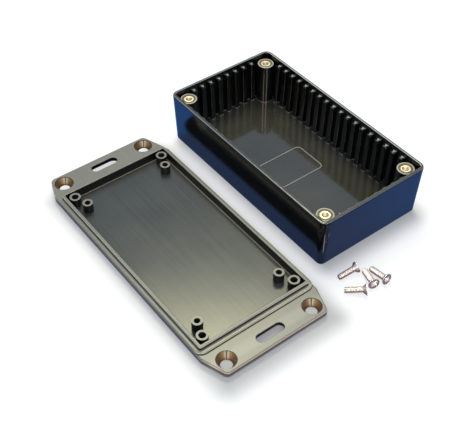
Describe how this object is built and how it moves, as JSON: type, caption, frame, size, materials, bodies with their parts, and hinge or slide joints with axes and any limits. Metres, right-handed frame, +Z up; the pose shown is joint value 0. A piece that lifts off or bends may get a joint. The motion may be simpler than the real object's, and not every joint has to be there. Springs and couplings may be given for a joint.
{
  "type": "plastic instrument enclosure with flanged lid",
  "caption": "Open moulded plastic box with ribbed walls and brass inserts, beside its flanged lid and loose flat-head screws.",
  "frame": {"origin": "centre of the underside of the box shell, on the surface that everything lies on", "axes": "+Z up, +X along the long sides of the box and the lid towards the screws, lid towards -Y"},
  "size_m": [0.1407, 0.1308, 0.027],
  "materials": {
    "box_plastic": "glossy black ABS",
    "lid_plastic": "satin black ABS",
    "brass": "machined",
    "screw_steel": "bright nickel plate"
  },
  "bodies": {
    "root": {"box_shell": "box_plastic", "flanged_lid": "lid_plastic", "brass_insert_1": "brass", "brass_insert_2": "brass", "brass_insert_3": "brass", "brass_insert_4": "brass", "lid_screw_1": "screw_steel", "lid_screw_2": "screw_steel", "lid_screw_3": "screw_steel", "lid_screw_4": "screw_steel"}
  },
  "joints": []
}
